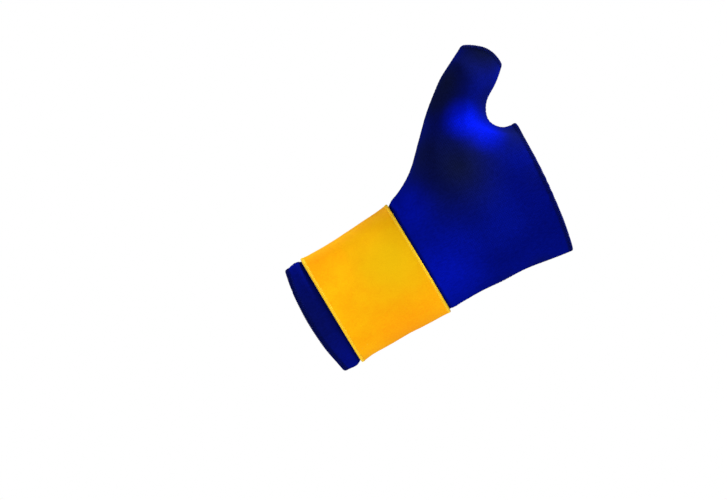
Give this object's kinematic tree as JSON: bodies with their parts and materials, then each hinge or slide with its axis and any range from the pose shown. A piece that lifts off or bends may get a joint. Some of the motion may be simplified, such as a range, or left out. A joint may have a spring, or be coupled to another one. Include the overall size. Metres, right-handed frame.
{
  "type": "thumb spica splint",
  "caption": "Soft left-hand thumb and wrist support: a hollow neoprene sleeve with thumb tube and cut-off hand opening, and a wide wrap strap closed by a hook tab on the back.",
  "frame": {"origin": "middle of the wrist inside the sleeve, halfway along the strap", "axes": "+X along the forearm towards the hand, +Z towards the thumb side, -Y out of the palm"},
  "size_m": [0.1717, 0.0547, 0.1341],
  "materials": {
    "neoprene": "navy to royal blue nylon jersey laminated on neoprene foam",
    "strap_fabric": "yellow brushed loop fabric, stitched edges",
    "hook_fabric": "yellow hook tape"
  },
  "bodies": {
    "root": {"sleeve": "neoprene", "strap": "strap_fabric", "hook_tab": "hook_fabric"}
  },
  "joints": []
}
